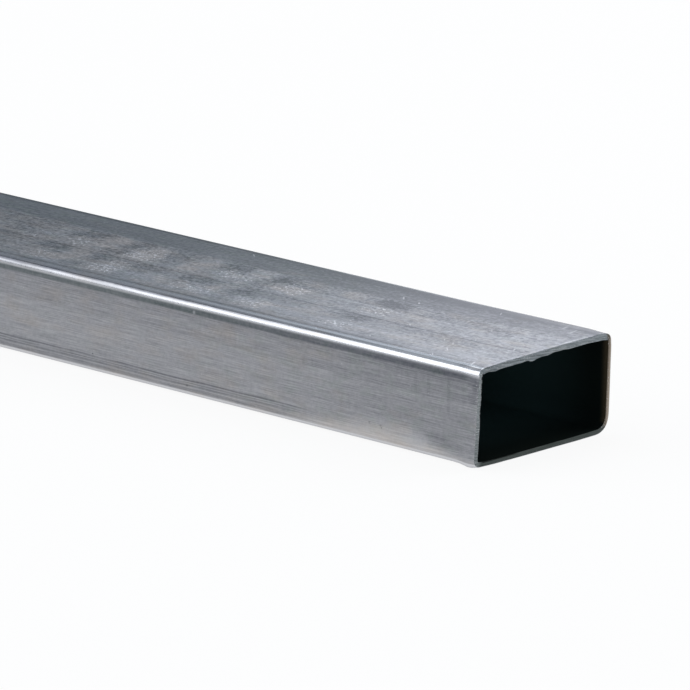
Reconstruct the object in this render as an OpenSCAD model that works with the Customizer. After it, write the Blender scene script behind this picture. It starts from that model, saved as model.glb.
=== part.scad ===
// Rectangular steel tube: strip rolled to a box section, seam welded and sawn to length.
// The tube lies on a wide face, with its length along X, its width along Y and +Z up.
// The origin is the middle of the underside.

/* [Section] */
// Outside width of the section, across the wide faces
tube_width = 60; // [40:1:120]
// Outside height of the section, across the narrow faces
tube_height = 30; // [20:1:60]
// Thickness of the rolled strip
wall = 1.5; // [1:0.1:3]

/* [Bends] */
// Inside radius of the three tight bends
bend_inside = 1; // [0.5:0.1:3]
// Inside radius of the loose bend, between the underside and the +Y face
loose_bend_inside = 3.5; // [1:0.1:5]

/* [Length] */
// Sawn length of the tube
cut_length = 1000; // [200:10:6000]

/* [Seam weld] */
// Distance of the seam from the middle of the top wall, towards the -Y face
seam_offset = 6.5; // [0:0.5:12]
// Width of the bead that the weld leaves inside the tube
bead_width = 3; // [2:0.1:6]
// Height of that bead under the top wall
bead_height = 0.4; // [0.2:0.05:0.8]

/* [Hidden] */
$fn = 96;

half_width = tube_width / 2;
inner_top = tube_height - wall;
tight_bend = bend_inside + wall;
loose_bend = loose_bend_inside + wall;
// The bead's lower face is the arc that gives its width and height
bead_radius = (pow(bead_width / 2, 2) + pow(bead_height, 2)) / (2 * bead_height);

// A flat of the strip, as a rectangle between two opposite corners
module flat(low, high) {
    translate(low)
        square(high - low);
}

// A quarter-turn bend of the strip round its centre, opening towards the given sides
module bend(centre, inside, side_y, side_z) {
    outside = inside + wall;
    translate(centre)
        scale([side_y, side_z])
            intersection() {
                difference() {
                    circle(r = outside);
                    circle(r = inside);
                }
                square(outside);
            }
}

// The four flats, each running from one bend to the next
module flats() {
    flat([-half_width + tight_bend, 0], [half_width - loose_bend, wall]);
    flat([-half_width + tight_bend, inner_top], [half_width - tight_bend, tube_height]);
    flat([-half_width, tight_bend], [-half_width + wall, tube_height - tight_bend]);
    flat([half_width - wall, loose_bend], [half_width, tube_height - tight_bend]);
}

// The four bends, three tight ones and the loose one
module bends() {
    bend([-half_width + tight_bend, tight_bend], bend_inside, -1, -1);
    bend([-half_width + tight_bend, tube_height - tight_bend], bend_inside, -1, 1);
    bend([half_width - tight_bend, tube_height - tight_bend], bend_inside, 1, 1);
    bend([half_width - loose_bend, loose_bend], loose_bend_inside, 1, -1);
}

// The weld bead, rooted in the top wall and standing into the bore
module seam_bead() {
    root = wall / 2;
    translate([-seam_offset, inner_top])
        intersection() {
            translate([0, bead_radius - bead_height])
                circle(r = bead_radius);
            flat([-bead_width / 2, -bead_height - root], [bead_width / 2, root]);
        }
}

module section() {
    flats();
    bends();
    seam_bead();
}

module tube() {
    color("lightslategray")
        rotate([90, 0, 90])
            linear_extrude(height = cut_length, center = true)
                section();
}

tube();
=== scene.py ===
"""Looks of a rectangular steel tube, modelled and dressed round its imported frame.

Objects are in metres in the frame's own axes: X along the tube, Y across it, Z up.
Finishes are written in millimetres, with places along the tube counted from its +X end.
"""

import logging
import math
from dataclasses import dataclass
from enum import Enum
from typing import Any, Callable, Union

import bmesh
import bpy
from mathutils import Matrix, Vector


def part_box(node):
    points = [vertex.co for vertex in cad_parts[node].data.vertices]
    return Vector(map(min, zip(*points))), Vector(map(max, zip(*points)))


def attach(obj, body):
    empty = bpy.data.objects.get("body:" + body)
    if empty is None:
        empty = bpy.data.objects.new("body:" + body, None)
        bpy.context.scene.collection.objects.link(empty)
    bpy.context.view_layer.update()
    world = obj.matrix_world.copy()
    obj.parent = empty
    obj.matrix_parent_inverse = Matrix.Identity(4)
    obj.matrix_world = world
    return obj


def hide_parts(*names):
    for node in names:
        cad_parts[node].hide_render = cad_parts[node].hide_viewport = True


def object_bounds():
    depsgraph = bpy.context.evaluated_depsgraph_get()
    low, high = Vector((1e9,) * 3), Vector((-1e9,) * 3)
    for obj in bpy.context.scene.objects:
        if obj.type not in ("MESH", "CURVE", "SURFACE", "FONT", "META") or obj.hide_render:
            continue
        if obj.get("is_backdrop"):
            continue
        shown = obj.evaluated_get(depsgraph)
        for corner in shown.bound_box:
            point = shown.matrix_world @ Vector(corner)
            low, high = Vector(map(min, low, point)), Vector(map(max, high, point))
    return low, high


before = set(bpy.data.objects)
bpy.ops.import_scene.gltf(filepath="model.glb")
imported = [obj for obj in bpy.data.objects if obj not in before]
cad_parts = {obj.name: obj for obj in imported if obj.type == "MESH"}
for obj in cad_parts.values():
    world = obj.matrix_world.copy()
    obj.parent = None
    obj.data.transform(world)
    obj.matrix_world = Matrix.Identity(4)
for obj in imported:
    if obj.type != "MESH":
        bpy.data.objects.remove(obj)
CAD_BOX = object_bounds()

MM = 0.001
TINY = 0.001 * MM
STRAIGHT = 0.999
CAD_NODE = "tube"
BODY = "root"
BARE_METAL = 1.0
NO_METAL = 0.0
Colour = tuple[float, float, float]
Number = Union["Wire", float]

log = logging.getLogger("steel_tube")


class Part(Enum):
    """Kinds of mesh element, with the words that Blender has for them."""

    VERTEX = ("VERT", "verts")
    EDGE = ("EDGE", "edges")
    FACE = ("FACE", "faces")

    @property
    def mode(self) -> str:
        """Name of the select mode."""
        return self.value[0]

    @property
    def items(self) -> str:
        """Name of the element list."""
        return self.value[1]


class Zone(Enum):
    """Surfaces of the tube, as numbers of its material slots."""

    MILL = 0
    BORE = 1
    SAWN = 2


class Bench:
    """A mesh on the workbench, shaped in edit mode by operators."""

    def __init__(self, name: str, low: Vector, high: Vector) -> None:
        """Start from a block that fills a box.

        Args:
            name: name of the object and its mesh.
            low: lowest corner of the box.
            high: highest corner of the box.
        """
        bpy.ops.object.select_all(action="DESELECT")
        bpy.ops.mesh.primitive_cube_add(size=1, location=(low + high) / 2, scale=high - low)
        self.object: bpy.types.Object = bpy.context.object
        self.object.name = name
        self.object.data.name = name
        bpy.ops.object.transform_apply(location=True, rotation=True, scale=True)

    def open(self) -> None:
        """Go into edit mode."""
        bpy.ops.object.mode_set(mode="EDIT")

    def close(self) -> None:
        """Go back to object mode."""
        bpy.ops.object.mode_set(mode="OBJECT")

    def pick(self, part: Part, test: Callable[[Any], bool]) -> None:
        """Select the elements that pass a test, and nothing else.

        Args:
            part: kind of element to look at.
            test: says whether an element is wanted.
        """
        bpy.ops.mesh.select_mode(type=part.mode)
        bpy.ops.mesh.select_all(action="DESELECT")
        shape = bmesh.from_edit_mesh(self.object.data)
        for item in getattr(shape, part.items):
            if test(item):
                item.select_set(True)
        shape.select_flush_mode()
        bmesh.update_edit_mesh(self.object.data)

    def assign(self, zone: Zone) -> None:
        """Give the selected faces a zone's material slot."""
        self.object.active_material_index = zone.value
        bpy.ops.object.material_slot_assign()

    def cut(self, point: Vector, normal: Vector) -> None:
        """Cut all faces along a plane, leaving both halves."""
        bpy.ops.mesh.select_all(action="SELECT")
        bpy.ops.mesh.bisect(plane_co=point, plane_no=normal)

    def push(
        self,
        name: str,
        weight: Callable[[bpy.types.MeshVertex], float],
        direction: str,
        reach: float,
        texture: Any = None,
    ) -> None:
        """Displace some vertices, in object mode.

        Args:
            name: name of the vertex group and the modifier.
            weight: gives a vertex's share of the reach; none where it isn't above zero.
            direction: X, Y, Z or NORMAL.
            reach: distance at full weight.
            texture: procedural texture that varies the reach, if any.
        """
        group = self.object.vertex_groups.new(name=name)
        for vertex in self.object.data.vertices:
            share = weight(vertex)
            if share > 0:
                group.add([vertex.index], share, "REPLACE")
        modifier = self.object.modifiers.new(name, "DISPLACE")
        modifier.vertex_group = name
        modifier.direction = direction
        modifier.strength = reach
        modifier.mid_level = 0
        if texture is not None:
            modifier.texture = texture
            modifier.texture_coords = "LOCAL"
        bpy.ops.object.modifier_apply(modifier=name)
        self.object.vertex_groups.clear()


def ease(value: float) -> float:
    """Smooth step from 0 to 1, clamped at both ends."""
    share = min(max(value, 0.0), 1.0)
    return share * share * (3 - 2 * share)


@dataclass(frozen=True)
class Pull:
    """A slight bend of the section at the +X end, from the saw and the strip's own tension.

    Lengths are in millimetres, in the frame's axes.
    """

    name: str
    y: float
    z: float
    shift: tuple[float, float, float]
    length: float
    spread: float


@dataclass
class SteelTube:
    """The tube: strip rolled to a box section, seam welded inside and sawn at both ends."""

    low: Vector
    high: Vector
    wall: float = 1.5 * MM
    tight_reach: float = 3.0 * MM
    far_reach: float = 2.2 * MM
    loose_reach: float = 6.2 * MM
    bend_fullness: float = 0.58
    bend_steps: int = 12
    flat_step: float = 0.5 * MM
    first_station: float = 0.4 * MM
    station_growth: float = 1.3
    last_station: float = 130 * MM
    seam_offset: float = 6.5 * MM
    bead_width: float = 3.0 * MM
    bead_height: float = 0.4 * MM
    line_digits: int = 6
    arris: float = 0.16 * MM
    arris_steps: int = 3
    burr_reach: float = 1.5 * MM
    burr_grain: float = 6.0 * MM
    burr_depth: int = 1
    burr_low: float = 0.14
    burr_top: float = 0.62
    burr_foot: float = 27.0 * MM
    squareness: float = 0.85
    drips: tuple[tuple[float, float], ...] = (
        (-23.5 * MM, 0.8), (-5.5 * MM, 0.55), (27.5 * MM, 1.2)
    )
    drip_half: float = 3.5 * MM
    lean: float = 0.35 * MM
    lean_length: float = 10.0 * MM
    pulls: tuple[Pull, ...] = (
        Pull("near_foot", -30, 0, (0, -0.4, -0.9), 9, 14),
        Pull("worn_foot", -30, 0, (0, 0, 0.95), 4, 13),
        Pull("near_brow", -30, 28, (0, 0.4, -0.2), 6, 13),
        Pull("crown", 17, 30, (0, 0, 0.68), 60, 50),
        Pull("far_brow", 30, 30, (0, -0.15, -0.3), 60, 6),
        Pull("far_corner", 30, 30, (0, -0.2, -0.35), 8, 4),
        Pull("far_side", 30, 6, (0, 0.25, 0), 30, 22),
        Pull("belly", 14, 0, (0, 0, -0.56), 30, 34),
        Pull("near_belly", -13, 0, (0, 0, -0.28), 30, 24),
    )
    smooth_angle: float = math.radians(38)

    def __post_init__(self) -> None:
        """Work out the sizes that follow from the box."""
        self.width = self.high.y - self.low.y
        self.height = self.high.z - self.low.z
        self.inner_top = self.high.z - self.wall

    def build(self) -> bpy.types.Object:
        """Model the tube.

        Returns:
            The finished mesh object, at the origin.
        """
        self.bench = Bench("steel_tube", self.low, self.high)
        for zone in Zone:
            self.bench.object.data.materials.append(None)
        self.bench.open()
        self.roll_bends()
        self.divide_flats()
        self.open_bore()
        self.cut_stations()
        self.raise_bead()
        self.break_arrises()
        self.mark_sawn_ends()
        self.bench.close()
        self.square_mouth()
        self.rag_burrs()
        self.lean_cut()
        for pull in self.pulls:
            self.bend_end(pull)
        bpy.ops.object.shade_smooth_by_angle(angle=self.smooth_angle)
        return self.bench.object

    def roll_bends(self) -> None:
        """Round the four long edges: three tight bends, and a loose one low on the +Y side."""
        bends = {
            (self.low.y, self.low.z): self.tight_reach,
            (self.low.y, self.high.z): self.tight_reach,
            (self.high.y, self.high.z): self.far_reach,
            (self.high.y, self.low.z): self.loose_reach,
        }
        for (y, z), reach in bends.items():
            self.bench.pick(
                Part.EDGE,
                lambda edge: all(abs(v.co.y - y) < TINY and abs(v.co.z - z) < TINY for v in edge.verts),
            )
            bpy.ops.mesh.bevel(
                offset=reach,
                segments=self.bend_steps,
                profile=self.bend_fullness,
                affect="EDGES",
            )

    def divide_flats(self) -> None:
        """Divide the four flats lengthwise into narrow strips."""
        for axis, across in ((1, self.width), (2, self.height)):
            flat = across - 2 * self.loose_reach
            self.bench.pick(
                Part.EDGE,
                lambda edge: self.runs_along(edge, axis) and edge.calc_length() > flat,
            )
            bpy.ops.mesh.subdivide(number_cuts=round(across / self.flat_step) - 1)

    @staticmethod
    def runs_along(edge: bmesh.types.BMEdge, axis: int) -> bool:
        """Whether an edge is parallel to an axis, given as 0, 1 or 2."""
        run = edge.verts[1].co - edge.verts[0].co
        return abs(run[axis]) > STRAIGHT * run.length

    @staticmethod
    def is_end(face: bmesh.types.BMFace) -> bool:
        """Whether a face lies in the plane of a sawn end."""
        return abs(face.normal.x) > STRAIGHT

    def open_bore(self) -> None:
        """Inset both ends by the wall and join the two openings by the bore."""
        self.bench.pick(Part.FACE, self.is_end)
        bpy.ops.mesh.inset(thickness=self.wall)
        bpy.ops.mesh.bridge_edge_loops()
        self.bench.assign(Zone.BORE)

    def cut_stations(self) -> None:
        """Cut the tube across: closely behind each sawn end, and wider apart further in."""
        along = Vector((1, 0, 0))
        step = self.first_station
        distance = step
        while distance < self.last_station:
            self.bench.cut(along * (self.low.x + distance), along)
            self.bench.cut(along * (self.high.x - distance), along)
            step *= self.station_growth
            distance += step

    def raise_bead(self) -> None:
        """Lower the inner top wall along the seam to the bead's arc."""
        half = self.bead_width / 2
        radius = (half**2 + self.bead_height**2) / (2 * self.bead_height)
        shape = bmesh.from_edit_mesh(self.bench.object.data)
        inner = [v.co.y for v in shape.verts if abs(v.co.z - self.inner_top) < TINY]
        lines = {round(y, self.line_digits) for y in inner if abs(y + self.seam_offset) < half}
        for y in sorted(lines):
            self.bench.pick(
                Part.VERTEX,
                lambda v: abs(v.co.z - self.inner_top) < TINY and abs(v.co.y - y) < TINY,
            )
            from_seam = y + self.seam_offset
            drop = math.sqrt(radius**2 - from_seam**2) - (radius - self.bead_height)
            bpy.ops.transform.translate(value=(0, 0, -drop))

    def break_arrises(self) -> None:
        """Take the sharpness off the outer edges of both sawn ends."""
        self.bench.pick(Part.EDGE, self.is_outer_arris)
        bpy.ops.mesh.bevel(offset=self.arris, segments=self.arris_steps, affect="EDGES")

    def is_outer_arris(self, edge: bmesh.types.BMEdge) -> bool:
        """Tell the outer edges of the sawn ends from the others.

        Args:
            edge: any edge of the tube.

        Returns:
            Whether it is between a sawn end and the outside.
        """
        ends = [face for face in edge.link_faces if self.is_end(face)]
        others = [face for face in edge.link_faces if not self.is_end(face)]
        return len(ends) == 1 and others[0].material_index == Zone.MILL.value

    def mark_sawn_ends(self) -> None:
        """Give the sawn faces their own material slot."""
        self.bench.pick(Part.FACE, self.is_end)
        self.bench.assign(Zone.SAWN)

    def lips(self) -> set[int]:
        """Find the inner edges of the sawn ends.

        Returns:
            Numbers of the vertices along them.
        """

        def corners(zone: Zone) -> set[int]:
            """Find the corners of a zone's faces.

            Args:
                zone: the zone.

            Returns:
                Numbers of its vertices.
            """
            faces = self.bench.object.data.polygons
            chosen = [face for face in faces if face.material_index == zone.value]
            return {index for face in chosen for index in face.vertices}

        return corners(Zone.BORE) & corners(Zone.SAWN)

    def square_mouth(self) -> None:
        """Square up the corner of both mouths that lies under the top bend of the -Y side."""
        lips = self.lips()

        def gaps(vertex: bpy.types.MeshVertex) -> tuple[float, float]:
            """Measure how far a vertex is from the square corner.

            Args:
                vertex: a vertex of the mesh.

            Returns:
                Distances from the inner -Y side and the inner top; none away from the corner.
            """
            aside = vertex.co.y - self.low.y - self.wall
            below = self.inner_top - vertex.co.z
            corner = vertex.index in lips and max(aside, below) < self.tight_reach
            return (aside, below) if corner else (0.0, 0.0)

        def sideways(vertex: bpy.types.MeshVertex) -> float:
            """Share of the push for the lower half of the corner."""
            aside, below = gaps(vertex)
            return aside / self.tight_reach if aside < below else 0.0

        def upwards(vertex: bpy.types.MeshVertex) -> float:
            """Share of the push for the upper half of the corner."""
            aside, below = gaps(vertex)
            return below / self.tight_reach if below <= aside else 0.0

        self.bench.push("square_top", upwards, "Z", self.tight_reach * self.squareness)
        self.bench.push("square_side", sideways, "Y", -self.tight_reach * self.squareness)

    def rag_burrs(self) -> None:
        """Pull the inner edges of the sawn ends into a ragged burr, longest under the top wall."""
        lips = self.lips()

        def weight(vertex: bpy.types.MeshVertex) -> float:
            """Weigh the burr, more towards the top and at the drips.

            Args:
                vertex: a vertex of the mesh.

            Returns:
                Its share of the burr.
            """
            if vertex.index not in lips:
                return 0.0
            upper = ease((vertex.co.z - self.burr_foot) / (self.inner_top - self.burr_foot))
            drip = sum(size * ease(1 - abs(vertex.co.y - y) / self.drip_half) for y, size in self.drips)
            return self.burr_low + upper * (self.burr_top - self.burr_low + (1 - self.burr_top) * drip)

        grain = bpy.data.textures.new("burr", "CLOUDS")
        grain.noise_scale = self.burr_grain
        grain.noise_depth = self.burr_depth
        self.bench.push("burr", weight, "NORMAL", self.burr_reach, grain)

    def lean_cut(self) -> None:
        """Tilt the +X cut a little off square, so that its top stands out further than its foot."""

        def share(vertex: bpy.types.MeshVertex) -> float:
            """From -1 at the foot of the cut to 1 at its top."""
            behind = ease(1 - (self.high.x - vertex.co.x) / self.lean_length)
            return behind * ((vertex.co.z - self.low.z) / self.height * 2 - 1)

        self.bench.push("lean_out", share, "X", self.lean)
        self.bench.push("lean_in", lambda vertex: -share(vertex), "X", -self.lean)

    def bend_end(self, pull: Pull) -> None:
        """Bend the +X end at one place of its section.

        Args:
            pull: the bend.
        """

        def weight(vertex: bpy.types.MeshVertex) -> float:
            """Weigh the pull, fading along the tube and round the section.

            Args:
                vertex: a vertex of the mesh.

            Returns:
                Its share of the pull.
            """
            behind = (self.high.x - vertex.co.x) / (pull.length * MM)
            aside = math.hypot(vertex.co.y - pull.y * MM, vertex.co.z - pull.z * MM)
            return ease(1 - behind) * ease(1 - aside / (pull.spread * MM))

        for axis, reach in zip("XYZ", pull.shift):
            if reach:
                self.bench.push(f"{pull.name}_{axis}", weight, axis, reach * MM)

    @staticmethod
    def dress(piece: bpy.types.Object) -> None:
        """Give each zone of the tube its finish.

        Args:
            piece: the finished mesh object.
        """
        finishes = {Zone.MILL: MillFinish(), Zone.BORE: BoreFinish(), Zone.SAWN: SawnFinish()}
        for zone, finish in finishes.items():
            piece.data.materials[zone.value] = finish.material()


class Wire:
    """One socket of a shader, with arithmetic that adds Math nodes."""

    def __init__(self, board: "Board", socket: bpy.types.NodeSocket) -> None:
        """Keep the socket and the board that it is on."""
        self.board = board
        self.socket = socket

    def __add__(self, other: Number) -> "Wire":
        """Sum."""
        return self.board.math("ADD", self, other)

    def __radd__(self, other: float) -> "Wire":
        """Sum with a number on the left."""
        return self.board.math("ADD", other, self)

    def __sub__(self, other: Number) -> "Wire":
        """Difference."""
        return self.board.math("SUBTRACT", self, other)

    def __rsub__(self, other: float) -> "Wire":
        """Difference from a number on the left."""
        return self.board.math("SUBTRACT", other, self)

    def __mul__(self, other: Number) -> "Wire":
        """Product."""
        return self.board.math("MULTIPLY", self, other)

    def __rmul__(self, other: float) -> "Wire":
        """Product with a number on the left."""
        return self.board.math("MULTIPLY", other, self)

    def __truediv__(self, other: Number) -> "Wire":
        """Quotient."""
        return self.board.math("DIVIDE", self, other)

    def __abs__(self) -> "Wire":
        """Size without sign."""
        return self.board.math("ABSOLUTE", self)

    def __mod__(self, other: float) -> "Wire":
        """Remainder that never goes below zero."""
        return self.board.math("FLOORED_MODULO", self, other)


class Board:
    """The node tree of one shader."""

    line_core = 0.3
    speck_core = 0.4
    noise_middle = 0.5
    mix_off = 6
    mix_on = 7
    mix_result = 2
    chance_edge = 0.02

    def __init__(self, tree: bpy.types.NodeTree) -> None:
        """Start from an empty tree."""
        self.tree = tree
        self.tree.nodes.clear()

    def node(self, kind: str, settings: dict[str, Any], inputs: dict[Any, Any]) -> bpy.types.Node:
        """Add any node.

        Args:
            kind: Blender's type name of the node.
            settings: properties, set first.
            inputs: values or wires, by the name or number of their socket.

        Returns:
            The new node.
        """
        made = self.tree.nodes.new(kind)
        for name, value in settings.items():
            setattr(made, name, value)
        for key, value in inputs.items():
            if isinstance(value, Wire):
                self.tree.links.new(value.socket, made.inputs[key])
            else:
                made.inputs[key].default_value = value
        return made

    def wire(self, kind: str, settings: dict[str, Any], inputs: dict[Any, Any], output: Any = 0) -> Wire:
        """Add a node and return one of its outputs."""
        return Wire(self, self.node(kind, settings, inputs).outputs[output])

    def math(self, operation: str, *values: Number) -> Wire:
        """Add a Math node on one or two values."""
        return self.wire("ShaderNodeMath", {"operation": operation}, dict(enumerate(values)))

    def place(self) -> tuple[Wire, ...]:
        """Read the place on the object.

        Returns:
            Object coordinates X, Y and Z in millimetres.
        """
        coords = self.wire("ShaderNodeTexCoord", {}, {}, "Object")
        scaled = self.wire("ShaderNodeVectorMath", {"operation": "SCALE"}, {0: coords, "Scale": 1 / MM})
        split = self.node("ShaderNodeSeparateXYZ", {}, {0: scaled})
        return tuple(Wire(self, socket) for socket in split.outputs)

    def vector(self, x: Number, y: Number, z: Number) -> Wire:
        """Put three values together to a vector."""
        return self.wire("ShaderNodeCombineXYZ", {}, {0: x, 1: y, 2: z})

    def noise(self, where: Wire, detail: float, roughness: float) -> Wire:
        """Add cloudy noise.

        Args:
            where: place in the noise's own grain.
            detail: number of finer layers.
            roughness: weight of the finer layers.

        Returns:
            The noise, around 0.
        """
        cloud = self.wire(
            "ShaderNodeTexNoise",
            {"noise_dimensions": "3D"},
            {"Vector": where, "Scale": 1.0, "Detail": detail, "Roughness": roughness},
        )
        return cloud - self.noise_middle

    def ramp(self, value: Number, low: float, high: float) -> Wire:
        """Smooth step from 0 at low to 1 at high; low may be the larger."""
        return self.wire(
            "ShaderNodeMapRange",
            {"interpolation_type": "SMOOTHSTEP"},
            {"Value": value, "From Min": low, "From Max": high},
        )

    def line(self, value: Wire, centre: float, half: float) -> Wire:
        """Soft line of 1 where a value is near a centre, fading over its half width."""
        return self.ramp(abs(value - centre), half, half * self.line_core)

    def tint(self, mask: Number, off: Any, on: Any) -> Wire:
        """Mix two colours by a mask."""
        return self.wire(
            "ShaderNodeMix",
            {"data_type": "RGBA", "clamp_factor": True},
            {0: mask, self.mix_off: self.colour(off), self.mix_on: self.colour(on)},
            self.mix_result,
        )

    @staticmethod
    def colour(value: Any) -> Any:
        """A colour with its alpha, or a wire as it is."""
        return value if isinstance(value, Wire) else (*value, 1.0)

    def specks(self, where: Wire, radius: float, share: float) -> Wire:
        """Scattered dots.

        Args:
            where: place in cells, one dot a cell.
            radius: radius of a dot in cells.
            share: share of the cells that has a dot.

        Returns:
            1 in a dot and 0 outside.
        """
        cells = self.node(
            "ShaderNodeTexVoronoi",
            {"voronoi_dimensions": "3D"},
            {"Vector": where, "Scale": 1.0},
        )
        chance = self.wire("ShaderNodeSeparateColor", {}, {0: Wire(self, cells.outputs["Color"])})
        dot = self.ramp(Wire(self, cells.outputs["Distance"]), radius, radius * self.speck_core)
        return dot * self.ramp(chance, 1 - share, 1 - share + self.chance_edge)

    def surface(
        self,
        colour: Wire,
        metallic: float,
        roughness: Number,
        height: Wire,
        edge: Colour = (1.0, 1.0, 1.0),
        specular: float = 0.5,
    ) -> None:
        """End the tree in a Principled shader with a bump.

        Args:
            colour: base colour.
            metallic: 1 for bare metal.
            roughness: wire or number.
            height: relief in millimetres.
            edge: tint of the glancing reflection.
            specular: level of the reflection where it isn't metal.
        """
        normal = self.wire("ShaderNodeBump", {}, {"Strength": 1.0, "Distance": MM, "Height": height})
        shader = self.wire(
            "ShaderNodeBsdfPrincipled",
            {},
            {
                "Base Color": colour,
                "Metallic": metallic,
                "Roughness": roughness,
                "Specular IOR Level": specular,
                "Specular Tint": self.colour(edge),
                "Normal": normal,
            },
        )
        self.node("ShaderNodeOutputMaterial", {}, {"Surface": shader})


def new_board(name: str) -> tuple[bpy.types.Material, Board]:
    """Make an empty node material.

    Args:
        name: name of the material.

    Returns:
        The material and its board.
    """
    material = bpy.data.materials.new(name)
    material.use_nodes = True
    return material, Board(material.node_tree)


@dataclass(frozen=True)
class Span:
    """A soft step of a value, from 0 at its first end to 1 at its second."""

    off: float
    on: float

    def of(self, value: Wire) -> Wire:
        """The step of a wire."""
        return value.board.ramp(value, self.off, self.on)


@dataclass(frozen=True)
class Fade:
    """An amount that changes from one level to another over a span of a value."""

    span: Span
    first: float = 0.0
    last: float = 1.0

    def of(self, value: Wire) -> Wire:
        """The amount at a wire's value."""
        return self.span.of(value) * (self.last - self.first) + self.first


@dataclass
class Skin:
    """Places on the tube as wires, in millimetres, and masks of its faces."""

    board: Board
    upper_half: Span = Span(8, 14)
    near_half: Span = Span(5, -5)
    top_turn: Span = Span(0.6, 2.4)
    side_turn: Span = Span(-2.4, -3.2)
    near_side: Span = Span(-26, -29)
    far_band: Span = Span(11.5, 15.5)
    row_foot: Span = Span(-26.2, -24.4)
    left_part: Span = Span(-60, -130)

    def __post_init__(self) -> None:
        """Work out the places and the masks."""
        end, half_width, height = CAD_BOX[1] / MM
        self.x, self.y, self.z = self.board.place()
        self.behind = self.x - end
        self.inset = end - abs(self.x)
        self.turn = self.z - abs(self.y) + (half_width - height)
        self.foot = half_width - abs(self.y) - self.z
        self.left = self.left_part.of(self.behind)
        self.upper = self.upper_half.of(self.z)
        self.lower = 1 - self.upper
        self.front = self.near_half.of(self.y)
        self.near_bend = self.upper * self.front
        self.top = self.top_turn.of(self.turn) * self.upper
        self.side = self.side_turn.of(self.turn) * self.side_turn.of(self.foot)
        near = self.near_side.of(self.y)
        self.near_face = self.side * near
        self.near_foot = self.lower * near
        self.far = self.far_band.of(self.y) * self.top
        self.rows = self.top * (1 - self.far) * self.row_foot.of(self.y)


@dataclass(frozen=True)
class Grain:
    """A noise on the tube: waves a millimetre along and across it, and its fineness."""

    along: float
    across: float
    detail: float = 2.0
    roughness: float = 0.5

    def at(self, along: Wire, across: Number, third: Number) -> Wire:
        """The noise around 0 at a place, with the third coordinate as it is."""
        place = along.board.vector(along * self.along, across * self.across, third)
        return along.board.noise(place, self.detail, self.roughness)

    def on(self, skin: Skin) -> Wire:
        """The noise around 0 on the tube."""
        return self.at(skin.behind, skin.y, skin.z * self.across)


@dataclass(frozen=True)
class Share:
    """How strong a grain is on the sides, and what the top, its rows and their left part add."""

    side: float = 0.0
    top: float = 0.0
    rows: float = 0.0
    left: float = 0.0

    def on(self, skin: Skin) -> Wire:
        """The strength on the tube."""
        return skin.top * self.top + skin.rows * (skin.left * self.left + self.rows) + self.side


@dataclass(frozen=True)
class Specks:
    """Scattered dots: cells a millimetre each way, a dot's radius in cells, and the share with one."""

    along: float
    across: float
    radius: float
    share: float

    def on(self, along: Wire, across: Wire, up: Wire) -> Wire:
        """Mask of the dots at a place."""
        place = along.board.vector(along * self.along, across * self.across, up * self.across)
        return along.board.specks(place, self.radius, self.share)


@dataclass(frozen=True)
class Mark:
    """What a mark adds where it is full: lighter or darker, warmer, and polish, which also carries
    painted highlights.
    """

    shade: float = 0.0
    warmth: float = 0.0
    polish_and_highlight: float = 0.0


OWN_SHADE = Mark(shade=1.0)
# A mark whose mask is itself the amount of painted highlight.
OWN_PAINTED_HIGHLIGHT = Mark(polish_and_highlight=1.0)


@dataclass
class Paint:
    """Shade, warmth, and polish with painted highlights, that the marks of a finish add up to."""

    shade: Wire
    warmth: Wire
    polish_and_highlight: Number = 0.0

    def add(self, mask: Wire, mark: Mark) -> None:
        """Lay on a mark.

        Args:
            mask: where the mark is, and how full.
            mark: what it adds.
        """
        if mark.shade:
            self.shade = self.shade + mask * mark.shade
        if mark.warmth:
            self.warmth = self.warmth + mask * mark.warmth
        if mark.polish_and_highlight:
            self.polish_and_highlight = self.polish_and_highlight + mask * mark.polish_and_highlight


@dataclass(frozen=True)
class Line:
    """A line along the tube: its level, half its width and its shade."""

    level: float
    half: float
    shade: float = 0.0

    def on(self, value: Wire) -> Wire:
        """Mask of the line across a value."""
        return value.board.line(value, self.level, self.half)


@dataclass(frozen=True)
class Strip:
    """A strip on a bend: its level and half width round it, its strength along it, and its mark."""

    level: float
    half: float
    strength: Fade
    mark: Mark

    def on(self, turn: Wire, along: Wire) -> Wire:
        """Mask of the strip."""
        return turn.board.line(turn, self.level, self.half) * self.strength.of(along)


@dataclass(frozen=True)
class Blotch:
    """A soft patch on the top face: its middle along the tube, half its length, and two ends across."""

    middle: float
    half: float
    start: float
    stop: float
    shade: float
    sparkle: float = 0.0
    soft: float = 3.0
    warmth: float = 0.0

    def on(self, along: Wire, across: Wire) -> Wire:
        """Shape the patch.

        Args:
            along: place along the tube.
            across: place across it, counted like the two ends.

        Returns:
            Mask of the patch.
        """
        ramp, soft = along.board.ramp, self.soft
        run = ramp(abs(along - self.middle), self.half + soft, self.half - soft)
        upper = ramp(across, self.start - soft, self.start + soft)
        return run * upper * ramp(across, self.stop + soft, self.stop - soft)


@dataclass(frozen=True)
class Scratch:
    """A bright scratch on the top face between two places, each an X and a Y."""

    start: tuple[float, float]
    stop: tuple[float, float]
    half: float = 0.3
    gleam: float = 0.6

    def on(self, skin: Skin) -> Wire:
        """Shape the scratch.

        Args:
            skin: places and masks of the tube.

        Returns:
            Mask of the scratch.
        """
        start, stop = Vector(self.start), Vector(self.stop)
        run = (stop - start).normalized()
        middle = (start + stop) / 2
        half_length = (stop - start).length / 2
        along = skin.behind * run.x + skin.y * run.y - run.dot(middle)
        across = skin.y * run.x - skin.behind * run.y - (run.x * middle.y - run.y * middle.x)
        ends = skin.board.ramp(abs(along), half_length + self.half, half_length - self.half)
        return ends * skin.board.line(across, 0.0, self.half) * self.gleam


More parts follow.
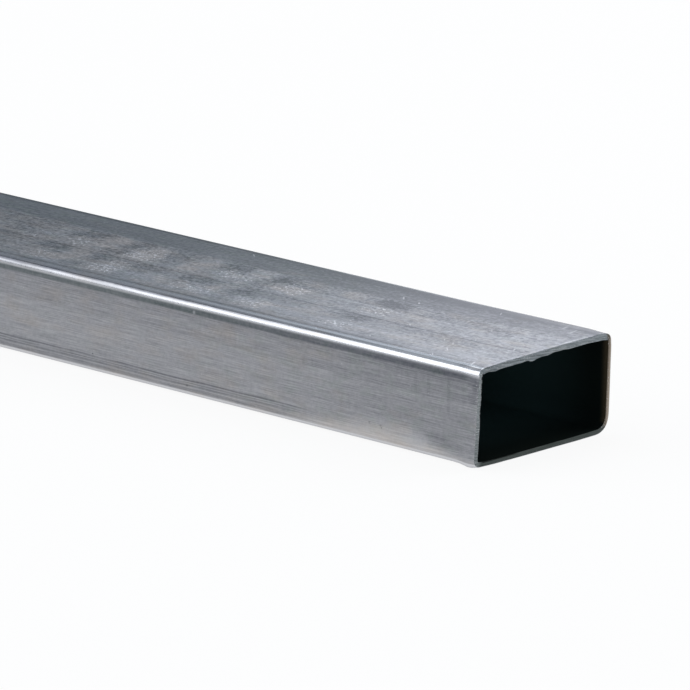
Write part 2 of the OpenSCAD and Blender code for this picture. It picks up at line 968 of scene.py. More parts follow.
@dataclass(frozen=True)
class Smudge:
    """An upright dark smudge on the -Y side: its place along the tube and its two levels."""

    place: float
    bottom: float
    top: float
    half: float = 0.9
    shade: float = -0.055
    soft: float = 1.2

    def on(self, along: Wire, level: Wire) -> Wire:
        """Shape the smudge.

        Args:
            along: place along the tube.
            level: height on the side.

        Returns:
            Mask of the smudge.
        """
        ramp = along.board.ramp
        ends = ramp(level, self.bottom - self.soft, self.bottom + self.soft)
        upright = along.board.line(along, self.place, self.half)
        return upright * ends * ramp(level, self.top + self.soft, self.top - self.soft)


@dataclass(frozen=True)
class TopMarks:
    """Top face: an even dark band along the +Y edge, and rows of soft blotches beside it."""

    midway_start: Span = Span(-125, -95)
    midway_stop: Span = Span(-6, -30)
    band_mark: Mark = Mark(-0.28, -0.3)
    midway_mark: Mark = Mark(-0.09)
    edge_across: Span = Span(20, 25)
    edge_along: Span = Span(-200, -60)
    edge_mark: Mark = Mark(-0.18)
    slope_across: Span = Span(2, 6)
    slope_shade: float = -0.06
    slope_midway: float = -0.1
    near_across: Span = Span(-10, -18)
    near_along: Span = Span(-200, -160)
    near_mark: Mark = Mark(0.1)
    light_tiles: Span = Span(0.03, 0.2)
    light_mark: Mark = Mark(warmth=0.6)
    dark_tiles: Span = Span(-0.08, -0.25)
    dark_mark: Mark = Mark(warmth=-0.3)
    flecks: Grain = Grain(0.9, 0.9, 3.0, 0.7)
    fleck_step: Span = Span(0.03, 0.14)
    fleck_mark: Mark = Mark(0.5, 0.9, 1.0)
    wander: Grain = Grain(0.03, 1.0)
    wander_slice: float = 5.0
    wobble: Grain = Grain(0.2, 0.2, 4.0, 0.65)
    wobble_reach: float = 12.0
    row_top: float = 13.5
    row_pitch: float = 19.75
    row_slip: float = 2.0
    row_fade: float = 0.22
    further: Grain = Grain(0.055, 0.07, 1.0)
    further_slice: float = 3.0
    further_along: Fade = Fade(Span(-250, -290), 0.0, 0.95)
    sparkling: Span = Span(0.05, 0.2)
    least_sparkle: float = 0.12
    patchy: Grain = Grain(0.13, 0.13, 3.0, 0.6)
    worn: Fade = Fade(Span(-0.16, 0.1), 0.45, 1.25)
    blotches: tuple[Blotch, ...] = (
        Blotch(-190.5, 6.0, 0, 9, -0.29),
        Blotch(-232.0, 14.0, -3, 12, -0.12, soft=8.0),
        Blotch(-170.0, 3.8, 0.5, 9, -0.25),
        Blotch(-170.0, 3.2, 9, 14, -0.08),
        Blotch(-170.0, 4.4, 14, 18, -0.32),
        Blotch(-151.5, 5.6, 0, 9, -0.14),
        Blotch(-151.5, 4.6, 9, 17, -0.04),
        Blotch(-130.5, 5.6, 0, 8.5, -0.29),
        Blotch(-108.8, 4.6, 4, 9, -0.28),
        Blotch(-111.2, 3.2, 0, 18, -0.15),
        Blotch(-66.5, 5.2, 0.5, 8, -0.37, soft=3.6),
        Blotch(-50.5, 4.8, 14.5, 19.0, -0.15),
        Blotch(-45.5, 4.8, 1, 8, -0.14),
        Blotch(-29.0, 9.0, 1, 19, -0.08, soft=4.0),
        Blotch(-201.0, 3.4, 3, 15, 0.07),
        Blotch(-211.0, 7.0, -4, 20, -0.1, soft=5.0),
        Blotch(-179.0, 4.8, 0.5, 17, 0.16),
        Blotch(-160.5, 4.4, 2.5, 9, 0.12, 0.3),
        Blotch(-161.0, 5.4, 8.5, 18.5, 0.21, 1.1),
        Blotch(-141.0, 5.0, 0, 17, 0.16),
        Blotch(-118.5, 4.8, -2, 10, 0.15),
        Blotch(-124.0, 7.5, 9, 16, 0.13, 0.8),
        Blotch(-100.0, 6.0, 9, 17, 0.17, 0.8),
        Blotch(-187.0, 3.4, 10, 17, 0.03, 1.0),
        Blotch(-65.0, 5.0, 11, 17, -0.06, 0.7),
        Blotch(-83.0, 5.0, 0, 9, 0.14),
        Blotch(-88.0, 12.0, 11, 16, 0.03),
    )
    patches: tuple[Blotch, ...] = (
        Blotch(-143.0, 5.0, 14, 19, 0.10, warmth=0.5),
        Blotch(-114.0, 6.0, 14, 18, 0.12, warmth=0.6),
        Blotch(-44.0, 7.0, 14, 20, 0.07, soft=4.0),
        Blotch(-41.0, 10.0, -27, -22.5, -0.13, soft=2.5),
    )
    lines: tuple[Line, ...] = (
        Line(-7.4, 0.8, -0.23),
        Line(4.6, 0.5, -0.11),
        Line(1.8, 0.4, -0.09),
        Line(-2.8, 0.5, -0.08),
        Line(-15.6, 0.5, -0.11),
        Line(-16.9, 0.4, -0.09),
        Line(-0.6, 0.4, -0.06),
        Line(-12.6, 0.5, -0.06),
        Line(-23.4, 0.7, -0.07),
        Line(8.6, 0.6, -0.05),
        Line(-9.5, 5.0, -0.045),
        Line(2.9, 0.6, 0.05),
        Line(-4.6, 0.8, 0.05),
        Line(-14.2, 0.6, 0.06),
        Line(-18.6, 0.7, 0.07),
    )

    def paint(self, skin: Skin, paint: Paint) -> None:
        """Lay on the marks of the top face.

        Args:
            skin: places and masks of the tube.
            paint: takes the marks.
        """
        y, behind, rows = skin.y, skin.behind, skin.rows
        midway = self.midway_start.of(behind) * self.midway_stop.of(behind)
        paint.add(skin.far, self.band_mark)
        paint.add(skin.far * midway, self.midway_mark)
        paint.add(self.edge_across.of(y) * skin.top * self.edge_along.of(behind), self.edge_mark)
        slope = midway * self.slope_midway + self.slope_shade
        paint.add(self.slope_across.of(y) * slope * rows, OWN_SHADE)
        paint.add(self.near_across.of(y) * self.near_along.of(behind) * rows, self.near_mark)
        for patch in self.patches:
            paint.add(patch.on(behind, y) * skin.top, Mark(patch.shade, patch.warmth))
        tiles, sparkle = self.tiles(skin)
        paint.add(tiles * rows, OWN_SHADE)
        paint.add(self.light_tiles.of(tiles) * rows, self.light_mark)
        paint.add(self.dark_tiles.of(tiles) * rows, self.dark_mark)
        paint.add(self.fleck_step.of(self.flecks.on(skin)) * sparkle * rows, self.fleck_mark)
        strayed = y + self.wander.at(behind, 0.0, self.wander_slice)
        for line in self.lines:
            paint.add(line.on(strayed) * skin.top, Mark(line.shade))

    def tiles(self, skin: Skin) -> tuple[Wire, Wire]:
        """Rows of soft blotches, with cloudy ones further along the tube.

        Args:
            skin: places and masks of the tube.

        Returns:
            Change of shade, and a mask of the sparkling ones.
        """
        fall = self.row_top - skin.y
        row = skin.board.math("FLOOR", fall / self.row_pitch)
        shift = self.wobble.on(skin) * self.wobble_reach
        along = skin.behind - row * self.row_slip + shift
        across = fall % self.row_pitch + shift
        clouds = self.further.at(along, across, self.further_slice)
        shade = clouds * self.further_along.of(skin.behind)
        sparkle = self.sparkling.of(shade) + self.least_sparkle
        for blotch in self.blotches:
            patch = blotch.on(along, across)
            shade = shade + patch * blotch.shade
            if blotch.sparkle:
                sparkle = sparkle + patch * blotch.sparkle
        worn = self.worn.of(self.patchy.on(skin))
        return shade * worn * (1 - row * self.row_fade), sparkle


@dataclass(frozen=True)
class BendMarks:
    """Painted light on the bends: a dark band under the top ones, bright and dark lines above, a bright
    low bend.
    """

    slide: Fade = Fade(Span(-20, -200), -0.35, 0.15)
    # Painted shade: a dark band under the top bends, in place of a dark reflection.
    band_foot: Span = Span(-4.6, -4.0)
    band_top: Span = Span(-2.0, -2.8)
    band_along: Span = Span(-1.5, -6)
    band_mark: Mark = Mark(-0.18, -0.5)
    band_middle: Line = Line(-90, 50, -0.04)
    drop: Fade = Fade(Span(-60, -190), 0.0, 0.6)
    # Painted shade: a dark line where the top bends meet the top face.
    painted_dark_line: Strip = Strip(3.3, 0.8, Fade(Span(-60, -15), 1.0, 0.4), Mark(-0.23))
    lift: Fade = Fade(Span(-90, -20), 0.0, -0.26)
    # Painted highlights: bright lines on the -Y top bend above the highlight.
    gleams: tuple[Strip, ...] = (
        Strip(1.5, 1.05, Fade(Span(-205, -110)), Mark(polish_and_highlight=0.28)),
        Strip(1.5, 1.05, Fade(Span(-130, -10)), Mark(polish_and_highlight=0.85)),
    )
    # Painted highlight just above the highlight, towards the +X end.
    brow: Strip = Strip(0.1, 1.2, Fade(Span(-80, -5)), Mark(polish_and_highlight=0.38))
    # Painted shade: darker and less polished between the bright lines and the highlight near the +X end.
    painted_end_shade: Strip = Strip(0.7, 1.1, Fade(Span(-10, -4.5)), Mark(-0.22, polish_and_highlight=-0.4))
    # Painted shade on the upper flank of the highlight, stronger towards the -X end.
    flank: Strip = Strip(-0.48, 0.82, Fade(Span(-25, -110), -0.05, -0.31), OWN_SHADE)
    # Painted highlight where the front soft box shows on the -Y top bend.
    glint_foot: Span = Span(-3.0, -2.3)
    glint_top: Span = Span(0.1, -1.9)
    glint_along: Fade = Fade(Span(-80, -190), 0.3, 0.19)
    # Darker, broken colour under the highlight towards the -X end, so that the highlight there is dimmer.
    highlight_dimming_foot: Span = Span(-2.8, -2.2)
    highlight_dimming_top: Span = Span(0.4, -0.6)
    highlight_dimming_along: Span = Span(-60, -190)
    highlight_dimming_grain: Grain = Grain(0.04, 0.9)
    highlight_dimming_breaks: Span = Span(-0.12, 0.08)
    highlight_dimming_mark: Mark = Mark(-0.27)
    # Painted shade on the +Y top bend, against its reflection of the floor.
    far_line: Line = Line(2.4, 1.2, -0.35)
    # Painted reflection of the floor: a bright strip on the low bends.
    foot_strip: Span = Span(-1.5, -0.9)
    foot_mark: Mark = Mark(0.5, 0.05, 0.24)

    def paint(self, skin: Skin, paint: Paint) -> Wire:
        """Lay on the marks of the bends.

        Args:
            skin: places and masks of the tube.
            paint: takes the marks.

        Returns:
            Mask of the painted dark band.
        """
        turn, behind = skin.turn, skin.behind
        slid = turn + self.slide.of(behind)
        # Painted dark band under the top bends.
        band = self.band_foot.of(turn) * self.band_top.of(slid) * skin.upper
        paint.add(band * self.band_along.of(behind), self.band_mark)
        paint.add(band * self.band_middle.on(behind), Mark(self.band_middle.shade))
        # Painted dark line along the top bends.
        dropped = turn + self.drop.of(behind)
        paint.add(self.painted_dark_line.on(dropped, behind) * skin.upper, self.painted_dark_line.mark)
        # Painted highlight lines and painted shade round the highlight.
        lifted = turn + self.lift.of(behind)
        for gleam in self.gleams:
            paint.add(gleam.on(lifted, behind) * skin.near_bend, gleam.mark)
        for strip in (self.brow, self.painted_end_shade, self.flank):
            paint.add(strip.on(turn, behind) * skin.near_bend, strip.mark)
        # Painted highlight on the -Y top bend.
        glint = self.glint_foot.of(slid) * self.glint_top.of(slid) * skin.near_bend
        paint.add(glint * self.glint_along.of(behind), OWN_PAINTED_HIGHLIGHT)
        # Dim and break up the highlight towards the -X end.
        highlight_dimming = self.highlight_dimming_foot.of(turn) * self.highlight_dimming_top.of(turn) * skin.upper
        broken = self.highlight_dimming_breaks.of(self.highlight_dimming_grain.on(skin))
        paint.add(highlight_dimming * self.highlight_dimming_along.of(behind) * broken, self.highlight_dimming_mark)
        # Painted shade on the +Y top bend.
        far_line = self.far_line.on(turn) * skin.upper * (1 - skin.front)
        paint.add(far_line, Mark(self.far_line.shade))
        # Painted floor reflection on the low bends.
        paint.add(self.foot_strip.of(skin.foot) * skin.lower, self.foot_mark)
        return band


@dataclass(frozen=True)
class SideMarks:
    """Narrow sides: on the -Y side roll lines, a painted floor reflection low at the end, and upright
    smudges.
    """

    side_mark: Mark = Mark(-0.07)
    end_along: Span = Span(-90, -10)
    end_mark: Mark = Mark(-0.08, -0.2)
    upper_level: Span = Span(15, 26)
    upper_mark: Mark = Mark(-0.1)
    wander: Grain = Grain(0.02, 1.0)
    wander_reach: float = 1.2
    lines_along: Span = Span(-58, -85)
    lines: tuple[Line, ...] = (
        Line(5.15, 0.4, -0.23),
        Line(4.35, 0.3, -0.15),
        Line(3.6, 0.45, -0.19),
        Line(2.3, 0.8, -0.21),
    )
    # Painted reflection of the floor: a light, warm hump low on the -Y side near the +X end.
    floor_reflection_start: Span = Span(-78, -30)
    floor_reflection_stop: Fade = Fade(Span(-4, -27), 0.0, 6.0)
    floor_reflection_foot: float = 0.8
    floor_reflection_edge: Span = Span(-3.2, 3.0)
    floor_reflection_bend: Span = Span(-0.8, -1.6)
    floor_reflection_mark: Mark = Mark(0.29, 0.5)
    # Painted shade: a darker patch on the -Y side beside the painted floor reflection.
    wedge_along: Line = Line(-14, 6)
    wedge_up: Line = Line(5.4, 2.6)
    wedge_mark: Mark = Mark(-0.06)
    smudges: tuple[Smudge, ...] = (
        Smudge(-67.5, 18.5, 21.5),
        Smudge(-65.5, 24.0, 25.2),
        Smudge(-23.5, 17.5, 23.0),
        Smudge(-18.5, 18.5, 24.5),
        Smudge(-10.7, 14.5, 25.0),
        Smudge(-7.6, 10.5, 12.0),
        Smudge(-41.1, 5.8, 6.4, 0.5, -0.2, 0.3),
        Smudge(-36.7, 5.6, 6.2, 0.5, -0.2, 0.3),
        Smudge(-113.9, 3.0, 3.6, 0.6, -0.2, 0.3),
        Smudge(-111.5, 25.9, 26.8, 0.7, 0.3, 0.4),
    )

    def paint(self, skin: Skin, paint: Paint) -> None:
        """Lay on the marks of the sides.

        Args:
            skin: places and masks of the tube.
            paint: takes the marks.
        """
        behind = skin.behind
        paint.add(skin.side, self.side_mark)
        paint.add(skin.near_face * self.end_along.of(behind), self.end_mark)
        paint.add(skin.near_face * self.upper_level.of(skin.z), self.upper_mark)
        stray = self.wander.at(behind, 0.0, 0.0) * self.wander_reach
        level = skin.z + stray
        lined = skin.near_foot * self.lines_along.of(behind)
        for line in self.lines:
            paint.add(line.on(level) * lined, Mark(line.shade))
        # Painted floor reflection low on the -Y side.
        rise = self.floor_reflection_start.of(behind) * self.floor_reflection_stop.of(behind) + self.floor_reflection_foot
        floor_reflection = self.floor_reflection_edge.of(rise - level) * self.floor_reflection_bend.of(skin.foot)
        paint.add(floor_reflection * skin.near_foot, self.floor_reflection_mark)
        # Painted shade beside the floor reflection.
        wedge = self.wedge_along.on(behind) * self.wedge_up.on(skin.z)
        paint.add(wedge * skin.near_face, self.wedge_mark)
        for smudge in self.smudges:
            paint.add(smudge.on(behind + stray, skin.z) * skin.near_face, Mark(smudge.shade))


@dataclass(frozen=True)
class WearMarks:
    """Wear: scratches on the top, pits on the sides, and chips along the sawn edges, which also get a
    painted highlight.
    """

    nick_angle: float = math.radians(132)
    short_nicks: Specks = Specks(0.2, 0.7, 0.17, 0.05)
    long_nicks: Specks = Specks(0.08, 0.7, 0.17, 0.02)
    nick_share: Share = Share(side=0.2, rows=0.8)
    nick_mark: Mark = Mark(polish_and_highlight=0.6)
    pits: Specks = Specks(0.12, 0.12, 0.045, 0.5)
    pit_mark: Mark = Mark(-0.3)
    # A lighter strip along the cut edges: partly wear, partly painted highlight.
    arris: Span = Span(0.6, 0.15)
    arris_share: Share = Share(side=0.06, top=0.12)
    smear: Span = Span(4.0, 0.5)
    smear_level: Span = Span(16, 22)
    smear_mark: Mark = Mark(-0.1)
    chip: Grain = Grain(2.4, 2.4, 2.0)
    chip_step: Span = Span(0.1, 0.2)
    chip_inset: Span = Span(1.2, 0.2)
    chip_mark: Mark = Mark(polish_and_highlight=0.34)
    # Painted highlight along the top edge of the cut.
    rim: Span = Span(0.5, 0.1)
    rim_across: Line = Line(13, 10)
    rim_mark: Mark = Mark(polish_and_highlight=0.15)
    scratches: tuple[Scratch, ...] = (
        Scratch((-71.3, 18.6), (-69.4, 16.4), 0.35),
        Scratch((-63.4, 16.6), (-62.4, 15.4), 0.4, 0.7),
        Scratch((-67.6, 0.6), (-66.4, -0.4), 0.4, 0.5),
        Scratch((-64.6, -1.6), (-63.4, -3.0), 0.35, 0.5),
        Scratch((-66.2, -18.0), (-65.2, -19.0), 0.4, 0.7),
        Scratch((-64.4, -19.8), (-62.9, -21.4), 0.45, 0.8),
        Scratch((-64.8, -27.6), (-63.4, -29.0), 0.4, 0.9),
        Scratch((-48.0, -5.0), (-46.8, -6.2)),
        Scratch((-47.6, -23.0), (-46.4, -24.4)),
        Scratch((-21.8, -18.4), (-19.8, -20.4)),
        Scratch((-12.2, 24.5), (-11.8, 21.8), 0.5, 0.4),
        Scratch((-7.3, 23.0), (-6.7, 19.0), 0.5, 0.4),
        Scratch((-6.6, -5.8), (-5.5, -7.6)),
        Scratch((-5.4, -24.8), (-4.2, -28.4), 0.4, 0.8),
        Scratch((-21.0, -25.6), (-18.8, -28.2)),
        Scratch((-37.6, 24.3), (-36.0, 21.8), 0.3, 0.4),
        Scratch((-24.5, -12.6), (-22.8, -14.6), 0.3, 0.4),
        Scratch((-26.0, 6.4), (-24.4, 4.5), 0.3, 0.4),
        Scratch((-138.8, 25.5), (-136.8, 23.8), 0.3, 0.7),
        Scratch((-203.0, -4.0), (-201.8, -6.0), 0.35, 0.7),
        Scratch((-124.4, -17.8), (-122.0, -21.0)),
    )

    def paint(self, skin: Skin, paint: Paint) -> Wire:
        """Lay on the wear and the painted highlight along the cut edges.

        Args:
            skin: places and masks of the tube.
            paint: takes the marks.

        Returns:
            Mask of the scratches.
        """
        run, rise = math.cos(self.nick_angle), math.sin(self.nick_angle)
        along = skin.behind * run + skin.y * rise
        across = skin.y * run - skin.behind * rise
        short = self.short_nicks.on(along, across, skin.z)
        long = self.long_nicks.on(along, across, skin.z)
        nicks = (short + long) * self.nick_share.on(skin)
        for scratch in self.scratches:
            nicks = nicks + scratch.on(skin) * skin.top
        paint.add(nicks, self.nick_mark)
        pits = self.pits.on(skin.behind, skin.y, skin.z)
        paint.add(pits * skin.side, self.pit_mark)
        # Lighter cut edges, partly painted highlight.
        paint.add(self.arris.of(skin.inset) * self.arris_share.on(skin), OWN_SHADE)
        smear = self.smear.of(skin.inset) * self.smear_level.of(skin.z)
        paint.add(smear * skin.side, self.smear_mark)
        chips = self.chip_step.of(self.chip.on(skin)) * self.chip_inset.of(skin.inset)
        paint.add(chips, self.chip_mark)
        rim = self.rim.of(skin.inset) * self.rim_across.on(skin.y)
        paint.add(rim * skin.upper, self.rim_mark)
        return nicks


@dataclass(frozen=True)
class MillFinish:
    """Cold-rolled outside: lengthwise streaks and speckle under the marks of each face."""

    dark: Colour = (0.076, 0.092, 0.097)
    light: Colour = (0.487, 0.498, 0.533)
    end_dark: Colour = (0.081, 0.0865, 0.103)
    # The sides' palette: a little bluer, and lighter than the top's as painted light for the sides.
    lit_side_dark: Colour = (0.087, 0.092, 0.11)
    lit_side_light: Colour = (0.538, 0.544, 0.569)
    warm_dark: Colour = (0.097, 0.091, 0.087)
    warm_light: Colour = (0.545, 0.512, 0.49)
    moss_dark: Colour = (0.076, 0.096, 0.094)
    moss_light: Colour = (0.487, 0.522, 0.513)
    # Near white that real polish and the painted highlights on the bends mix towards.
    polish_and_highlight_colour: Colour = (0.86, 0.87, 0.90)
    edge: Colour = (0.7, 0.7, 0.72)
    middle: float = 0.5
    streaks: Grain = Grain(0.03, 1.3, 4.0, 0.65)
    streak_share: Share = Share(0.19, 0.323, 0.228)
    hairlines: Grain = Grain(0.09, 4.5)
    hair_mark: Mark = Mark(0.66)
    hair_cover: float = 0.6
    broad_streaks: Grain = Grain(0.004, 0.35)
    broad_shade: float = 0.2
    broad_warmth: Fade = Fade(Span(-0.05, 0.25), 0.06, 0.21)
    speckle: Grain = Grain(0.7, 0.7, 3.0, 0.7)
    speckle_share: Share = Share(0.3, 0.7, 0.5, 0.7)
    mottle: Grain = Grain(0.2, 0.25, 3.0)
    mottle_share: Share = Share(rows=0.3)
    tone: Grain = Grain(0.1, 0.25, 3.0)
    tone_share: Share = Share(1.8, 1.0)
    warm_rows: Fade = Fade(Span(-100, -190), 0.0, 0.45)
    end_part: Span = Span(-130, -40)
    tinge: Grain = Grain(0.16, 0.3, 3.0)
    tinge_step: Span = Span(-0.03, 0.12)
    moss_top: float = 0.2
    moss_left: float = 0.5
    moss_rim: Fade = Fade(Span(-185, -215), 0.0, 0.4)
    moss_side: float = 0.35
    moss_side_left: float = -0.23
    roughness: float = 0.33
    bend_roughness: float = 0.2
    streak_roughness: float = 0.14
    bend: Line = Line(0.0, 3.4)
    streak_relief: float = 0.006
    hair_relief: float = 0.003
    nick_depth: float = 0.01
    top: TopMarks = TopMarks()
    bends: BendMarks = BendMarks()
    side: SideMarks = SideMarks()
    wear: WearMarks = WearMarks()

    def material(self) -> bpy.types.Material:
        """Make the node material.

        Returns:
            The new material.
        """
        material, board = new_board("mill_finish")
        skin = Skin(board)
        streak = self.streaks.on(skin)
        hair = self.hairlines.on(skin)
        broad = self.broad_streaks.on(skin)
        shade = self.middle + streak * self.streak_share.on(skin) + broad * self.broad_shade
        shade = shade + self.speckle.on(skin) * self.speckle_share.on(skin)
        shade = shade + self.mottle.on(skin) * self.mottle_share.on(skin)
        warmth = self.broad_warmth.of(broad) + self.tone.on(skin) * self.tone_share.on(skin)
        warmth = warmth + self.warm_rows.of(skin.behind) * skin.rows
        paint = Paint(shade, warmth)
        self.top.paint(skin, paint)
        shaded = self.bends.paint(skin, paint)
        paint.add(hair * (1 - shaded * self.hair_cover), self.hair_mark)
        self.side.paint(skin, paint)
        nicks = self.wear.paint(skin, paint)
        bend = self.bend.on(skin.turn) * skin.upper * (self.bend_roughness - self.roughness)
        rough = self.roughness + streak * self.streak_roughness + bend
        height = streak * self.streak_relief + hair * self.hair_relief - nicks * self.nick_depth
        board.surface(self.colour(skin, paint, shaded), BARE_METAL, rough, height, self.edge)
        return material

    def colour(self, skin: Skin, paint: Paint, shaded: Wire) -> Wire:
        """Mix the colour from the paint.

        Args:
            skin: places and masks of the tube.
            paint: shade, warmth and polish.
            shaded: mask of the painted dark band under the top bends.

        Returns:
            The base colour.
        """
        tint = skin.board.tint
        plain = (1 - skin.top) * (1 - shaded)
        shadow = tint(self.end_part.of(skin.behind), self.dark, self.end_dark)
        # Sides take the lighter palette, painted light.
        shadow = tint(plain, shadow, self.lit_side_dark)
        cool = tint(paint.shade, shadow, tint(plain, self.light, self.lit_side_light))
        on_top = skin.left * self.moss_left + self.moss_rim.of(skin.behind) + self.moss_top
        mossy = skin.top * on_top + skin.side * (skin.left * self.moss_side_left + self.moss_side)
        moss = tint(paint.shade, self.moss_dark, self.moss_light)
        cool = tint(self.tinge_step.of(self.tinge.on(skin)) * mossy, cool, moss)
        beige = tint(paint.shade, self.warm_dark, self.warm_light)
        # Last, mix towards near white: real polish at nicks and chips, painted highlights on the bends.
        return tint(paint.polish_and_highlight, tint(paint.warmth, cool, beige), self.polish_and_highlight_colour)


@dataclass(frozen=True)
class Area:
    """A soft area of a sawn end: steps across it, steps up it, and its strength."""

    across: tuple[Span, ...]
    up: tuple[Span, ...]
    strength: float = 1.0

    def on(self, y: Wire, z: Wire) -> Wire:
        """Mask of the area."""
        steps = [span.of(y) for span in self.across] + [span.of(z) for span in self.up]
        return math.prod(steps, start=self.strength)


@dataclass(frozen=True)
class SawnFinish:
    """Sawn ends: dull greenish grey with fine saw lines, painted shade at the foot, stained on the +Y
    side.
    """

    dark: Colour = (0.105, 0.12, 0.124)
    light: Colour = (0.335, 0.365, 0.38)
    bright: Colour = (0.62, 0.62, 0.62)
    # Dark colour of the painted shade at the foot of the cut.
    foot_dark: Colour = (0.03, 0.04, 0.036)
    stain: Colour = (0.125, 0.1, 0.073)
    blush: Colour = (0.355, 0.297, 0.24)
    lip: Colour = (0.004, 0.006, 0.006)
    roughness: float = 0.42
    lines: Grain = Grain(0.1, 0.14, 4.0, 0.65)
    line_rise: float = 2.6
    line_lean: float = 0.2
    line_step: Span = Span(-0.19, 0.19)
    line_relief: float = 0.03
    lit: Area = Area((Span(-30, 14),), (Span(27, 28.5),), 0.21)
    blush_step: Span = Span(28.5, 29.9)
    stained: Area = Area((Span(26.8, 28.4),), (), 0.95)
    nicks: Grain = Grain(2.2, 2.2, 1.0)
    nick_step: Fade = Fade(Span(0.1, 0.22), 0.0, 0.5)
    # Painted shade: the bottom wall of the cut darkened near the floor; worn darkens the lower part of
    # the -Y wall.
    painted_foot_shade: Area = Area((Span(-29.6, -26),), (Span(2.6, 1.2),), 0.9)
    worn: Area = Area((Span(-26, -28),), (Span(13, 5),), 0.22)
    rag: Grain = Grain(1.0, 1.0, 3.0, 0.6)
    rag_rise: float = 1.3
    rag_reach: float = 1.2
    lip_shift: Fade = Fade(Span(15, 22), 0.0, -0.2)
    lip_edge: Span = Span(-28.7, -28.4)
    near_lip: Area = Area((Span(-20, -24),), (Span(12, 16), Span(28.4, 27.9)))
    foot_lip: Area = Area((Span(-9, -14), Span(-27.5, -26)), (Span(0.9, 1.2), Span(3, 2)))

    def material(self) -> bpy.types.Material:
        """Make the node material.

        Returns:
            The new material.
        """
        material, board = new_board("sawn_end")
        x, y, z = board.place()
        lines = self.lines.at(x, y, z * self.line_rise + y * self.line_lean)
        steel = board.tint(self.line_step.of(lines) + self.lit.on(y, z), self.dark, self.light)
        rusty = board.tint(self.blush_step.of(y), self.stain, self.blush)
        stained = board.tint(self.stained.on(y, z), steel, rusty)
        nicks = self.nick_step.of(self.nicks.at(x, y, z * self.nicks.across))
        flecked = board.tint(nicks, stained, self.bright)
        # Darken towards the foot: painted shade on the bottom wall.
        darkened_at_foot = board.tint(self.painted_foot_shade.on(y, z) + self.worn.on(y, z), flecked, self.foot_dark)
        rag = self.rag.at(x, y, z * self.rag_rise) * self.rag_reach
        near_lip = self.lip_edge.of(y + rag + self.lip_shift.of(z)) * self.near_lip.on(y, z)
        colour = board.tint(near_lip + self.foot_lip.on(y, z), darkened_at_foot, self.lip)
        board.surface(colour, BARE_METAL, self.roughness, lines * self.line_relief)
        return material


@dataclass(frozen=True)
class BoreFinish:
    """Inside of the tube: black with rolling oil and scale, painted lighter deeper in, rusty at the mouth
    on the +Y side.
    """

    mouth: Colour = (0.004, 0.007, 0.006)
    depth: Colour = (0.054, 0.1, 0.1)
    rust: Colour = (0.06, 0.046, 0.027)
    roughness: float = 0.75
    specular: float = 0.05
    # Painted light: from near black at the mouth to a lighter teal deeper in, making up for the shade
    # inside.
    lightened_inwards: Span = Span(45, 3)
    rusty: Span = Span(3.4, 0.2)
    far_wall: Span = Span(27.6, 28.4)
    grain: Grain = Grain(0.05, 0.4, 3.0)
    relief: float = 0.02

    def material(self) -> bpy.types.Material:
        """Make the node material.

        Returns:
            The new material.
        """
        material, board = new_board("oiled_bore")
        skin = Skin(board)
        # Painted lighter deeper in the bore.
        lightened_inwards = board.tint(self.lightened_inwards.of(skin.inset), self.depth, self.mouth)
        rusty = self.rusty.of(skin.inset) * self.far_wall.of(skin.y)
        colour = board.tint(rusty * rusty, lightened_inwards, self.rust)
        height = self.grain.on(skin) * self.relief
        board.surface(colour, NO_METAL, self.roughness, height, specular=self.specular)
        return material


@dataclass(frozen=True)
class SoftBox:
    """A soft box: its middle and the point it faces, from the +X end's foot, its size and brightness.

    A level of 1 is white.
    """

    name: str
    place: tuple[float, float, float]
    target: tuple[float, float, float]
    width: float
    height: float
    level: float


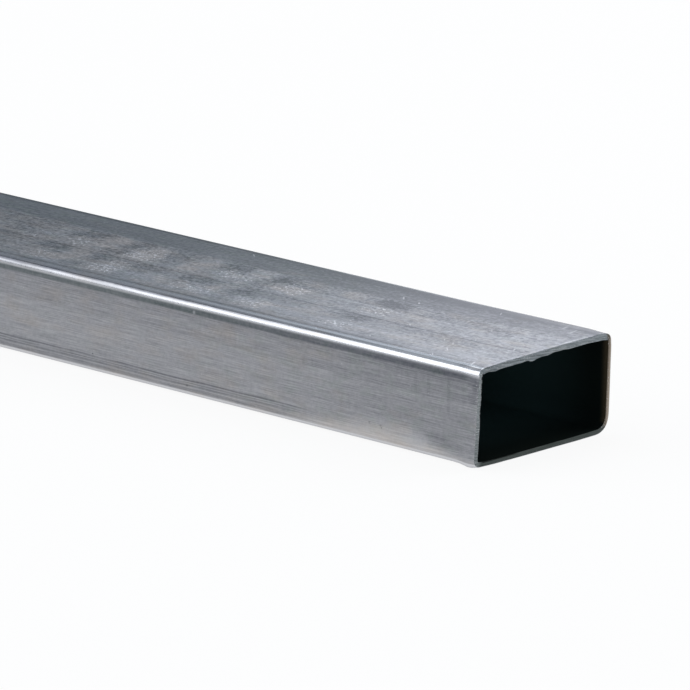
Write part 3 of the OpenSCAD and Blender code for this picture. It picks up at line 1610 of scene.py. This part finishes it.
@dataclass
class Studio:
    """Floor, soft light and camera of a plain studio."""

    end: Vector
    floor_level: float
    yaw: float = math.radians(-48.311)
    pitch: float = math.radians(14.363)
    roll: float = math.radians(1.130)
    distance: float = 2040.859 * MM
    right: float = -57.5625 * MM
    rise: float = 30.6652 * MM
    focal_pixels: float = 7000.0
    frame_pixels: float = 690.0
    floor_half: float = 40.0
    floor_colour: Colour = (0.86, 0.86, 0.86)
    floor_glow: float = 0.9
    sky: Colour = (0.47, 0.52, 0.58)
    boxes: tuple[SoftBox, ...] = (
        SoftBox("front_box", (-1.72, -1.571, 0.94), (-0.09, 0.0, 0.03), 2.64, 1.6, 2.1),
        SoftBox("back_box", (-0.853, 2.093, 0.546), (0.564, 0.502, 0.0), 1.6, 1.0, 1.9),
        SoftBox("edge_box", (0.37, 1.08, 0.97), (0.0, 0.0, 0.0), 0.8, 0.8, 2.2),
        SoftBox("top_box", (-0.3, 0.0, 1.8), (0.0, 0.0, 0.0), 1.8, 1.8, 1.0),
    )

    def build(self) -> None:
        """Set up the whole studio."""
        self.add_camera()
        self.add_floor()
        self.add_sky()
        for box in self.boxes:
            self.add_soft_box(box)
        bpy.context.scene.view_settings.view_transform = "Standard"

    def axes(self) -> tuple[Vector, Vector, Vector]:
        """Work out how the camera is turned.

        Returns:
            Its right, up and backward directions.
        """
        flat = math.cos(self.pitch)
        back = Vector((flat * math.cos(self.yaw), flat * math.sin(self.yaw), math.sin(self.pitch)))
        level = Vector((-math.sin(self.yaw), math.cos(self.yaw), 0))
        upright = back.cross(level)
        right = math.cos(self.roll) * level + math.sin(self.roll) * upright
        up = -math.sin(self.roll) * level + math.cos(self.roll) * upright
        return right, up, back

    def add_camera(self) -> None:
        """Add the camera at the photograph's viewing angle."""
        right, up, back = self.axes()
        place = self.end + self.right * right + self.rise * up + self.distance * back
        data = bpy.data.cameras.new("camera")
        data.lens = self.focal_pixels * data.sensor_width / self.frame_pixels
        camera = bpy.data.objects.new("camera", data)
        camera.matrix_world = Matrix.Translation(place) @ Matrix((right, up, back)).transposed().to_4x4()
        bpy.context.scene.collection.objects.link(camera)
        bpy.context.scene.camera = camera

    def add_floor(self) -> None:
        """Add a pale floor that stays near white for the eye and keeps the shadow."""
        bpy.ops.object.select_all(action="DESELECT")
        bpy.ops.mesh.primitive_plane_add(size=2 * self.floor_half, location=(0, 0, self.floor_level))
        floor = bpy.context.object
        floor.name = "floor"
        material, board = new_board("pale_floor")
        paths = board.node("ShaderNodeLightPath", {}, {})
        rays = ("Is Camera Ray", "Is Glossy Ray", "Is Transmission Ray")
        camera, glossy, transmission = (Wire(board, paths.outputs[name]) for name in rays)
        share = board.math("MINIMUM", camera + glossy + transmission, 1.0) * self.floor_glow
        matt = board.wire("ShaderNodeBsdfDiffuse", {}, {"Color": (*self.floor_colour, 1.0)})
        glow = board.wire("ShaderNodeEmission", {}, {"Strength": 1.0})
        mixed = board.wire("ShaderNodeMixShader", {}, {0: share, 1: matt, 2: glow})
        board.node("ShaderNodeOutputMaterial", {}, {"Surface": mixed})
        floor.data.materials.append(material)
        floor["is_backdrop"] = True

    def add_sky(self) -> None:
        """Add an even, slightly cool light from all round."""
        world = bpy.data.worlds.new("sky")
        world.use_nodes = True
        board = Board(world.node_tree)
        even = board.wire("ShaderNodeBackground", {}, {"Color": (*self.sky, 1.0), "Strength": 1.0})
        board.node("ShaderNodeOutputWorld", {}, {"Surface": even})
        bpy.context.scene.world = world

    def add_soft_box(self, box: SoftBox) -> None:
        """Add one soft box, which lights the tube and shows in it but not to the camera.

        Args:
            box: the soft box.
        """
        data = bpy.data.lights.new(box.name, "AREA")
        data.shape = "RECTANGLE"
        data.size = box.width
        data.size_y = box.height
        data.energy = box.level * math.pi * box.width * box.height
        lamp = bpy.data.objects.new(box.name, data)
        place = Vector(box.place)
        lamp.location = self.end + place
        lamp.rotation_euler = (Vector(box.target) - place).to_track_quat("-Z", "Y").to_euler()
        lamp.visible_camera = False
        bpy.context.scene.collection.objects.link(lamp)


def main() -> None:
    """Build the tube, dress it and light it."""
    logging.basicConfig(level=logging.INFO, format="%(name)s: %(message)s")
    low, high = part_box(CAD_NODE)
    tube = SteelTube(low, high)
    piece = tube.build()
    tube.dress(piece)
    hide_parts(CAD_NODE)
    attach(piece, BODY)
    log.info("%s: %d faces", piece.name, len(piece.data.polygons))
    end = Vector((high.x, (low.y + high.y) / 2, low.z))
    Studio(end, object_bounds()[0].z).build()


if __name__ == "__main__":
    main()
